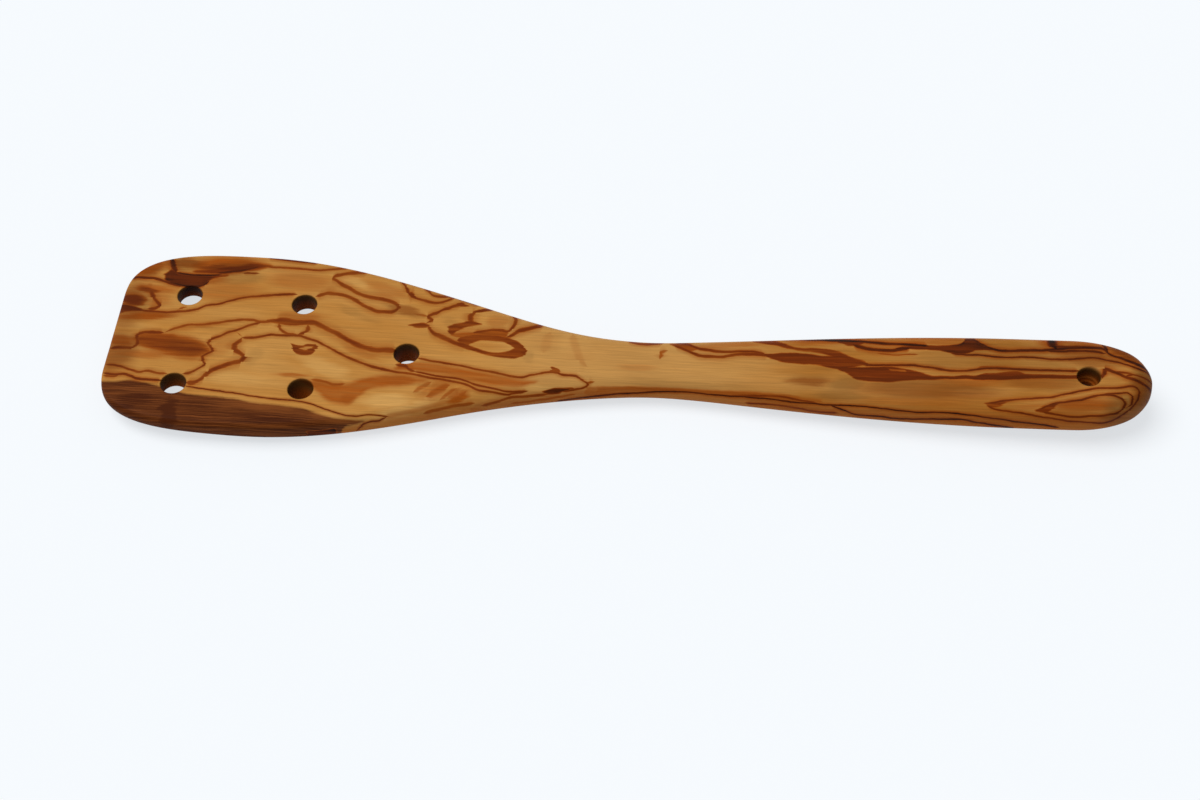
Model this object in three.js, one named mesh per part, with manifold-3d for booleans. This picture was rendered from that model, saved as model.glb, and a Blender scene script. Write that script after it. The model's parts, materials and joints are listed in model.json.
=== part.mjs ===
// A drilled turner carved from one board of olive wood: a wide thin blade with five drain holes, a slim
// neck, and a flat handle with rounded edges and a hole to hang it by.
// Millimetres, +Z up. X runs from the blade's front edge to the handle's end, Y across the blade, and the
// belly of the underside lies on Z = 0. The origin is under the middle of the turner's length.

import * as THREE from "three";
import { mergeVertices } from "three/addons/utils/BufferGeometryUtils.js";
import Module from "manifold-3d";

// Lengths along the turner, in order from the blade's front edge
const FRONT_CORNER_LENGTH = 36;
const BLADE_SIDE_LENGTH = 3;
const SHOULDER_LENGTH = 121;
const SWELL_LENGTH = 102;
const GRIP_SIDE_LENGTH = 16;
const HANDLE_END_LENGTH = 22;

// Widths across the turner
const FRONT_EDGE_WIDTH = 24;
const BLADE_WIDTH = 65;
const NECK_WIDTH = 17.9;
const HANDLE_WIDTH = 28.8;
const HANDLE_TIP_WIDTH = 2;

// Sideways bend of the hand-cut neck, towards the right of the blade
const NECK_SWAY = 1;
const NECK_SWAY_AT = 138;
const NECK_SWAY_REACH = 38;

// Fullness of the rounded corners: 1 is a flat bevel, 2 an ellipse, and more is squarer
const FRONT_CORNER_POWER = 3;
const HANDLE_END_POWER = 2;
const EDGE_POWER = 1.7;

// How gently the handle's swell and the lifted ends begin
const SWELL_POWER = 1.15;
const LIFT_POWER = 1.5;

// Thickness of the board, and how far its two ends are cut clear of the table
const FRONT_EDGE_THICKNESS = 4;
const NECK_THICKNESS = 9.8;
const HANDLE_THICKNESS = 11.5;
const BLADE_LIFT = 3.8;
const BLADE_LIFT_LENGTH = 112;
const HANDLE_LIFT = 4.5;
const HANDLE_LIFT_LENGTH = 132;
const HANDLE_CROWN = 0.6;

// Eased edges, which are limited by the wood that carries them
const MOST_EDGE_OF_THICKNESS = 0.45;
const MOST_EDGE_OF_HALF_WIDTH = 0.9;
const BLADE_EDGE_RADIUS = 1.8;
const NECK_EDGE_RADIUS = 4.6;
const HANDLE_EDGE_RADIUS = 4.2;
const FRONT_EDGE_ROUND = 2;
const FRONT_EDGE_FLAT = 1.4;
const HANDLE_END_ROUND = 6;
const HANDLE_END_FLAT = 3.5;

// Drain holes: how far each lies behind the front edge, and in from its side of the blade
const DRAIN_HOLE_DIAMETER = 7;
const DRAIN_HOLE_EASE = 0.35;
const LEFT_SIDE = 1;
const RIGHT_SIDE = -1;
const DRAIN_HOLES = [
  { side: LEFT_SIDE, behindFront: 19.8, inFromSide: 17.5 },
  { side: RIGHT_SIDE, behindFront: 21.6, inFromSide: 14.2 },
  { side: LEFT_SIDE, behindFront: 54.3, inFromSide: 18.7 },
  { side: RIGHT_SIDE, behindFront: 58.4, inFromSide: 14.6 },
];
const MIDDLE_HOLE_BEHIND_FRONT = 86.9;
const MIDDLE_HOLE_OFFSET = -2.9;

// Hanging hole
const HANG_HOLE_DIAMETER = 6.6;
const HANG_HOLE_EASE = 0.8;
const HANG_HOLE_FROM_END = 18.5;
const HANG_HOLE_OFFSET = -1.6;

// Fineness of the mesh, with the steps crowded towards the front edge
const NOSE_CROWDING = 2.2;
const NOSE_STEPS = 14;
const BODY_STEPS = 40;
const END_STEPS = 12;
const FACE_STEPS = 8;
const EDGE_STEPS = 4;
const HOLE_STEPS = 24;
const SEAM_TOLERANCE = 1e-4;

const NECK_AT = FRONT_CORNER_LENGTH + BLADE_SIDE_LENGTH + SHOULDER_LENGTH;
const GRIP_END = NECK_AT + SWELL_LENGTH + GRIP_SIDE_LENGTH;
const TURNER_LENGTH = GRIP_END + HANDLE_END_LENGTH;

const { lerp, clamp } = THREE.MathUtils;

// Goes from 0 to 1 with a level start and a level finish
function smoothBlend(share) {
  return (1 - Math.cos(Math.PI * clamp(share, 0, 1))) / 2;
}

// Goes from 0 to 1 with a steep start and a level finish
function easeOut(share) {
  return Math.sin((Math.PI / 2) * clamp(share, 0, 1));
}

// Height of a rounded corner above its start, as a share, where gone is the share of its length covered
function cornerRise(gone, power) {
  return Math.pow(1 - Math.pow(1 - clamp(gone, 0, 1), power), 1 / power);
}

// Half the turner's width at a distance behind the front edge
function halfWidthAt(x) {
  if (x > GRIP_END) {
    const fromTip = (TURNER_LENGTH - x) / HANDLE_END_LENGTH;
    return lerp(HANDLE_TIP_WIDTH, HANDLE_WIDTH, cornerRise(fromTip, HANDLE_END_POWER)) / 2;
  }
  if (x > NECK_AT) {
    const swell = Math.pow(easeOut((x - NECK_AT) / SWELL_LENGTH), SWELL_POWER);
    return lerp(NECK_WIDTH, HANDLE_WIDTH, swell) / 2;
  }
  if (x > FRONT_CORNER_LENGTH) {
    const shoulderStart = FRONT_CORNER_LENGTH + BLADE_SIDE_LENGTH;
    return lerp(BLADE_WIDTH, NECK_WIDTH, smoothBlend((x - shoulderStart) / SHOULDER_LENGTH)) / 2;
  }
  return lerp(FRONT_EDGE_WIDTH, BLADE_WIDTH, cornerRise(x / FRONT_CORNER_LENGTH, FRONT_CORNER_POWER)) / 2;
}

// Place of the turner's middle line, which bends a little to one side at the neck
function middleAt(x) {
  const nearness = 1 - Math.abs(x - NECK_SWAY_AT) / NECK_SWAY_REACH;
  return -NECK_SWAY * smoothBlend(nearness);
}

// Thickness of the board before its two ends are rounded over
function boardThicknessAt(x) {
  if (x > NECK_AT) {
    return lerp(NECK_THICKNESS, HANDLE_THICKNESS, easeOut((x - NECK_AT) / SWELL_LENGTH));
  }
  return lerp(FRONT_EDGE_THICKNESS, NECK_THICKNESS, easeOut(x / NECK_AT));
}

// Height of the board's lower face, which rises from the flat belly towards both ends
function undersideAt(x) {
  const bladeRise = Math.max(0, 1 - x / BLADE_LIFT_LENGTH);
  const handleRise = Math.max(0, 1 - (TURNER_LENGTH - x) / HANDLE_LIFT_LENGTH);
  return BLADE_LIFT * bladeRise ** LIFT_POWER + HANDLE_LIFT * handleRise ** LIFT_POWER;
}

// Lower and upper heights of the wood, with the front edge and the handle's end rounded over
function heightsAt(x) {
  const board = boardThicknessAt(x);
  const middle = undersideAt(x) + board / 2;
  const frontFlat = Math.min(FRONT_EDGE_FLAT, board);
  const endFlat = Math.min(HANDLE_END_FLAT, board);
  const front = lerp(frontFlat, board, cornerRise(x / FRONT_EDGE_ROUND, 2));
  const end = lerp(endFlat, board, cornerRise((TURNER_LENGTH - x) / HANDLE_END_ROUND, 2));
  const thickness = Math.min(front, end);
  return { bottom: middle - thickness / 2, top: middle + thickness / 2 };
}

// Radius that the long edges are eased to
function edgeRadiusAt(x) {
  if (x > NECK_AT) {
    return lerp(NECK_EDGE_RADIUS, HANDLE_EDGE_RADIUS, smoothBlend((x - NECK_AT) / SWELL_LENGTH));
  }
  const shoulderGone = (x - FRONT_CORNER_LENGTH - BLADE_SIDE_LENGTH) / SHOULDER_LENGTH;
  return lerp(BLADE_EDGE_RADIUS, NECK_EDGE_RADIUS, smoothBlend(shoulderGone));
}

// How far the middle of the upper face stands above its edges
function crownAt(x) {
  return HANDLE_CROWN * smoothBlend((x - NECK_AT) / SWELL_LENGTH) * (halfWidthAt(x) / (HANDLE_WIDTH / 2));
}

// Cross-section at a distance behind the front edge, counter-clockwise seen from the handle's end
function sectionAt(x) {
  const half = halfWidthAt(x);
  const middle = middleAt(x);
  const { bottom, top } = heightsAt(x);
  const mostRadius = Math.min(MOST_EDGE_OF_THICKNESS * (top - bottom), MOST_EDGE_OF_HALF_WIDTH * half);
  const radius = Math.min(edgeRadiusAt(x), mostRadius);
  const flatHalf = half - radius;
  const crown = crownAt(x);
  const points = [];
  // A quarter turn from a broad face to a side, or back again
  const addEdge = (sideways, upward, fromFace) => {
    for (let step = 0; step <= EDGE_STEPS; step += 1) {
      const share = fromFace ? step / EDGE_STEPS : 1 - step / EDGE_STEPS;
      const angle = (Math.PI / 2) * share;
      const out = radius * Math.pow(Math.sin(angle), 2 / EDGE_POWER);
      const up = radius * Math.pow(Math.cos(angle), 2 / EDGE_POWER);
      const corner = upward > 0 ? top - radius : bottom + radius;
      points.push(new THREE.Vector3(x, middle + sideways * (flatHalf + out), corner + upward * up));
    }
  };
  // The inner points of a broad face
  const addFace = (height, direction, bulge) => {
    for (let step = 1; step < FACE_STEPS; step += 1) {
      const across = direction * lerp(-1, 1, step / FACE_STEPS);
      points.push(new THREE.Vector3(x, middle + across * flatHalf, height + bulge * (1 - across ** 2)));
    }
  };
  addEdge(1, -1, true);
  addEdge(1, 1, false);
  addFace(top, -1, crown);
  addEdge(-1, 1, true);
  addEdge(-1, -1, false);
  addFace(bottom, 1, 0);
  return points;
}

// Distances behind the front edge at which the cross-sections stand, closer together at the rounded ends
function sectionStations() {
  const stations = [];
  for (let step = 0; step < NOSE_STEPS; step += 1) {
    stations.push(FRONT_CORNER_LENGTH * (step / NOSE_STEPS) ** NOSE_CROWDING);
  }
  for (let step = 0; step < BODY_STEPS; step += 1) {
    stations.push(lerp(FRONT_CORNER_LENGTH, GRIP_END, step / BODY_STEPS));
  }
  for (let step = 0; step <= END_STEPS; step += 1) {
    stations.push(GRIP_END + HANDLE_END_LENGTH * easeOut(step / END_STEPS));
  }
  return stations;
}

// Closed skin over the cross-sections, with a fan of triangles at each end
function carvedBlank() {
  const sections = sectionStations().map(sectionAt);
  const around = sections[0].length;
  const vertices = sections.flat();
  const indices = [];
  for (let section = 0; section + 1 < sections.length; section += 1) {
    for (let point = 0; point < around; point += 1) {
      const next = (point + 1) % around;
      const near = section * around;
      const far = near + around;
      indices.push(near + point, near + next, far + point);
      indices.push(near + next, far + next, far + point);
    }
  }
  const addCap = (section, facesFront) => {
    const centre = sections[section].reduce((sum, point) => sum.add(point), new THREE.Vector3());
    const hub = vertices.push(centre.divideScalar(around)) - 1;
    for (let point = 0; point < around; point += 1) {
      const here = section * around + point;
      const next = section * around + ((point + 1) % around);
      indices.push(hub, facesFront ? next : here, facesFront ? here : next);
    }
  };
  addCap(0, true);
  addCap(sections.length - 1, false);
  const geometry = new THREE.BufferGeometry().setFromPoints(vertices);
  geometry.setIndex(indices);
  return geometry;
}

// Drill through the board at a point, flaring at both faces to ease the hole's rims
function drillAt(x, y, diameter, ease) {
  const { bottom, top: edgeTop } = heightsAt(x);
  const top = edgeTop + crownAt(x);
  const radius = diameter / 2;
  const mouth = radius + 2 * ease;
  const profile = [
    new THREE.Vector2(0, bottom - ease),
    new THREE.Vector2(mouth, bottom - ease),
    new THREE.Vector2(radius, bottom + ease),
    new THREE.Vector2(radius, top - ease),
    new THREE.Vector2(mouth, top + ease),
    new THREE.Vector2(0, top + ease),
  ];
  const geometry = new THREE.LatheGeometry(profile, HOLE_STEPS);
  geometry.rotateX(Math.PI / 2);
  geometry.translate(x, y, 0);
  return geometry;
}

// Drills for the drain holes and the hanging hole
function allDrills() {
  const drills = DRAIN_HOLES.map(({ side, behindFront, inFromSide }) => {
    const y = side * (BLADE_WIDTH / 2 - inFromSide);
    return drillAt(behindFront, y, DRAIN_HOLE_DIAMETER, DRAIN_HOLE_EASE);
  });
  drills.push(drillAt(MIDDLE_HOLE_BEHIND_FRONT, MIDDLE_HOLE_OFFSET, DRAIN_HOLE_DIAMETER, DRAIN_HOLE_EASE));
  const hangAt = TURNER_LENGTH - HANG_HOLE_FROM_END;
  drills.push(drillAt(hangAt, HANG_HOLE_OFFSET, HANG_HOLE_DIAMETER, HANG_HOLE_EASE));
  return drills;
}

const wasm = await Module();
wasm.setup();

// Closed solid for cutting, from a geometry whose seams are merged by position
function toSolid(geometry) {
  const bare = geometry.clone();
  bare.deleteAttribute("normal");
  bare.deleteAttribute("uv");
  const merged = mergeVertices(bare, SEAM_TOLERANCE);
  return new wasm.Manifold(
    new wasm.Mesh({
      numProp: 3,
      vertProperties: new Float32Array(merged.attributes.position.array),
      triVerts: new Uint32Array(merged.index.array),
    })
  );
}

// Mesh geometry of a cut solid
function toGeometry(solid) {
  const mesh = solid.getMesh();
  const geometry = new THREE.BufferGeometry();
  geometry.setAttribute("position", new THREE.BufferAttribute(mesh.vertProperties, 3));
  geometry.setIndex(new THREE.BufferAttribute(mesh.triVerts, 1));
  geometry.computeVertexNormals();
  return geometry;
}

// The whole turner: a carved blank with all its holes drilled
function drilledTurner() {
  const blank = toSolid(carvedBlank());
  const drilled = allDrills().reduce((wood, drill) => wood.subtract(toSolid(drill)), blank);
  const oiledOliveWood = new THREE.MeshStandardMaterial({ color: 0xb98545, roughness: 0.45, metalness: 0 });
  const turner = new THREE.Mesh(toGeometry(drilled), oiledOliveWood);
  turner.name = "turner";
  turner.position.x = -TURNER_LENGTH / 2;
  return turner;
}

const object = new THREE.Group();
object.add(drilledTurner());

export default object;
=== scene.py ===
"""Looks of a drilled turner carved from one board of olive wood, on a pale table under soft light.

Sizes are in millimetres and are turned into metres where a mesh, a lamp or the camera is placed. Places in
the wood's figure are given as the distance behind the front edge, and the distance towards the left side.
"""

import json
import math

import bmesh
import bpy
from mathutils import Matrix, Vector


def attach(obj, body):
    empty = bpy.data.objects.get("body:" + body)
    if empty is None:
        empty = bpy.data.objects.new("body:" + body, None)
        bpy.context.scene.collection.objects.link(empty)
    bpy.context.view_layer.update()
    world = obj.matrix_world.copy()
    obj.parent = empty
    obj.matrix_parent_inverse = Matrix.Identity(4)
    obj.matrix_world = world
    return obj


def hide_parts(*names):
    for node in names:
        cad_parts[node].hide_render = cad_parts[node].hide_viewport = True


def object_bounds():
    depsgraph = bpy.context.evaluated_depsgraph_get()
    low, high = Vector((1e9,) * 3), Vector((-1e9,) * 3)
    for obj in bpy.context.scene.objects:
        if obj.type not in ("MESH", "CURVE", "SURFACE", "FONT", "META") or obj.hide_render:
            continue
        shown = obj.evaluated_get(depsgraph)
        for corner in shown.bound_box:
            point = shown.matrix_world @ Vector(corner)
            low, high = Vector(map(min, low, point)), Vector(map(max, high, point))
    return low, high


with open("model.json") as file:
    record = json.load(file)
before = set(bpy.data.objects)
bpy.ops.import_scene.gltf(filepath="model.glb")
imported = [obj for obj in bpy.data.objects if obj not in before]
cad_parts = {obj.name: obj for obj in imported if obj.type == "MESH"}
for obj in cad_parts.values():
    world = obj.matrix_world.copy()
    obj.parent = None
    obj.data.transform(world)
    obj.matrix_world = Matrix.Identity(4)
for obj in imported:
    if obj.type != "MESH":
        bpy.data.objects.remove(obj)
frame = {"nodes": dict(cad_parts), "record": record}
cad_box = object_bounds()

MM = 0.001
BOARD_NODE = "turner"
FRONT_EDGE = cad_box[0].x / MM
HANDLE_END = cad_box[1].x / MM

# Camera, as it stood over the turner
LENS = 63.0
SENSOR_WIDTH = 36.0
CAMERA_AIM = Vector((-6.521, -8.707, 0.0))
CAMERA_DISTANCE = 607.642
CAMERA_ELEVATION = 51.668
CAMERA_AZIMUTH = 4.505

# Light and table: a broad soft lamp high beyond the blade's front end, an even sky and a pale top
SKY_COLOUR = (0.985, 0.99, 1.0)
SKY_STRENGTH = 0.32
LAMP_FROM = Vector((-480.0, 70.0, 1040.0))
LAMP_SPREAD = 44.0
LAMP_STRENGTH = 2.4
TABLE_SIZE = 6000.0
TABLE_COLOUR = (0.91, 0.94, 0.965)
TABLE_WHITE = (0.93, 0.965, 1.0)
TABLE_GLOW = 0.7
TABLE_GAP = 0.03
TABLE_ROUGHNESS = 0.9

# Rings of the drilled holes, from the flat face down into the bore: how far out from the bore, and how deep
HOLE_STEPS = 24
CLEARED_ROUND_HOLE = 1.9
HOLE_SEARCH = 17.0
DRAIN_RIM = [("apron", 1.45, 0.0), ("brow", 0.5, 0.0), ("lip", 0.26, 0.1), ("throat", 0.2, 0.45)]
WORN_RIM = [("apron", 1.5, 0.0), ("brow", 0.36, 0.0), ("lip", 0.08, 0.16), ("throat", 0.0, 0.7),
            ("ledge", -0.02, 3.6), ("step", -0.45, 3.75), ("ledge", -0.47, 4.9), ("step", -0.9, 5.05)]
WORN_SIDE = math.radians(48)
WORN_EXTRA = 0.5
WEAR_FALLOFF = 3
# How dark the end grain is at each ring; the steps in the hanging hole are left lighter, a painted
# highlight where the ledges' edges catch the light
SHADE_IN_BORE = {"apron": 0.0, "brow": 0.0, "lip": 0.4, "throat": 1.0, "ledge": 1.0, "step": 0.6}
# How far the lower end of a hand-drilled hole lies towards the left side
BORE_SLANT = {"drain_hole_front_left": 0.3, "drain_hole_rear_left": 0.3, "drain_hole_middle": 0.2,
              "drain_hole_rear_right": -2.2, "drain_hole_front_right": -0.9, "hanging_hole": 0.0}

# Corners that are merged, edges that belong to an end face, and triangles that may be joined in a pair
MERGE_DISTANCE = 0.002
END_DEPTH = 0.5
FLAT_ENOUGH = math.radians(40)
SMOOTHING_LEVELS = 2

# Wood colours, as red, green and blue from 0 to 255
HONEY = (181, 124, 56)
PALE_HONEY = (201, 152, 84)
NECK_HONEY = (184, 134, 71)
HANDLE_HONEY = (161, 104, 40)
AMBER = (153, 74, 11)
HEARTWOOD = (70, 29, 5)
HEARTWOOD_STREAK = (116, 62, 24)
VEIN_AMBER = (147, 73, 15)
VEIN_BROWN = (110, 44, 5)
VEIN_BLACK = (30, 11, 3)
# End grain in the bores: the black is painted shade just under the rim, the brown is end grain deeper down
BORE_BROWN = (136, 59, 5)
BORE_BLACK = (44, 15, 2)

# The growth layers slope through the board, so a line lies further left the deeper it is cut.
# Below the far edge they fan out the other way, as the layers of a flat-sawn board do.
LAYER_SLOPE = 0.79
BLADE_FAN_DEPTH = 0.6
HANDLE_FAN_DEPTH = 1.4
FAN_CHANGE = (60.0, 160.0)
FAN_HALF_WIDTH = 7.0
UPPER_FACE = [(0, 7.6), (20, 8.0), (58, 8.4), (87, 8.8), (120, 9.2), (160, 10.0), (195, 11.2), (230, 13.0),
              (262, 14.9), (300, 16.6)]
CURVE_LOW = -48.0
CURVE_HIGH = 48.0

# Noises: their turns in a millimetre along, across and down the board, and how fine they go
WANDER_NOISE = {"scale": (0.22, 0.4, 0.3), "detail": 2.5}
DRIFT_NOISE = {"scale": (0.035, 0.1, 0.1), "start": (7.0, 3.0, 0.0), "detail": 1.0}
FIBRE_NOISE = {"scale": (0.05, 2.6, 1.0), "detail": 4.0, "roughness": 0.6}
STREAK_NOISE = {"scale": (0.03, 0.75, 1.0), "detail": 3.0, "distortion": 0.4}
RIBBON_NOISE = {"scale": (0.09, 1.25, 1.0)}
BROAD_NOISE = {"scale": (0.03, 0.09, 1.0)}
CLOUDY_NOISE = {"scale": (0.12, 0.3, 1.0), "detail": 3.0}

# How far the noises move the growth layers, and fray the lines, bands and clouds
WANDER = 0.4
DRIFT = 9.0
LINE_FRAY = 0.45
BAND_FRAY = 0.9
BAND_STREAK_FRAY = 1.2
CLOUD_FRAY_ALONG = 3.0
CLOUD_FRAY_ACROSS = 1.6

# Depths over which the layers drift away on each side, the wood turns amber, and the bores turn from black,
# painted shade under the rim, to brown
LEFT_DRIFT_DEPTH = (2.0, 9.0)
LEFT_DRIFT_SHARE = 0.3
RIGHT_DRIFT_DEPTH = (9.0, 12.5)
AMBER_DEPTH = (0.8, 5.0)
DEEP_AMBER = 0.6
BORE_BROWN_DEPTH = (1.5, 6.0)
BORE_SHARE = 0.88

# Distances behind the front edge over which the base colour changes
BLADE_TO_NECK = (105.0, 130.0)
NECK_TO_HANDLE = (164.0, 204.0)

# Ranges in which most of a noise lies, and the tones, shares and gloss that it spreads over
NOISE_MIDDLE = (0.3, 0.7)
NOISE_WIDE = (0.25, 0.75)
PALE_RANGE = (0.35, 0.7)
PALE_SHARE = 0.35
AMBER_FIBRE = 0.09
AMBER_STREAK = (0.8, 1.1)
HEART_RANGE = (0.36, 0.68)
HEART_STREAK = 0.9
STAIN_STREAK = (0.64, 1.16)
LINE_CLOUD = (0.78, 1.2)
FIBRE_CONTRAST = (0.8, 1.18)
RIBBON_CONTRAST = (0.92, 1.07)
SMOKE_AND_SHADE = 0.5
OILED_ROUGHNESS = (0.58, 0.48)
OILED_GLOSS = 0.04
FIBRE_BUMP = 0.12
FIBRE_HEIGHT = 0.1

# A line that climbs faster than this runs across the board, and slower than this along it
STEEP = 1.4
END_TAPER = 1.6
LINE_WEIGHT = 1.1
JOIN_OVERLAP = 0.2
LEAST_SHOWN = 0.001

# Where a line's core and halo, a band and a cloud begin and are full, as shares of their reach or softness
LINE_CORE = (1.35, 0.25)
LINE_HALO = (3.4, 0.6)
LINE_HALO_TONE = 0.28
BAND_FADE = (0.6, -0.5)
CLOUD_FADE = (1.15, 0.4)
# A band is a little lighter this far inside its edges
BAND_INSIDE = (-2.2, -0.3)
BAND_INSIDE_TONE = 0.9

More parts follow.
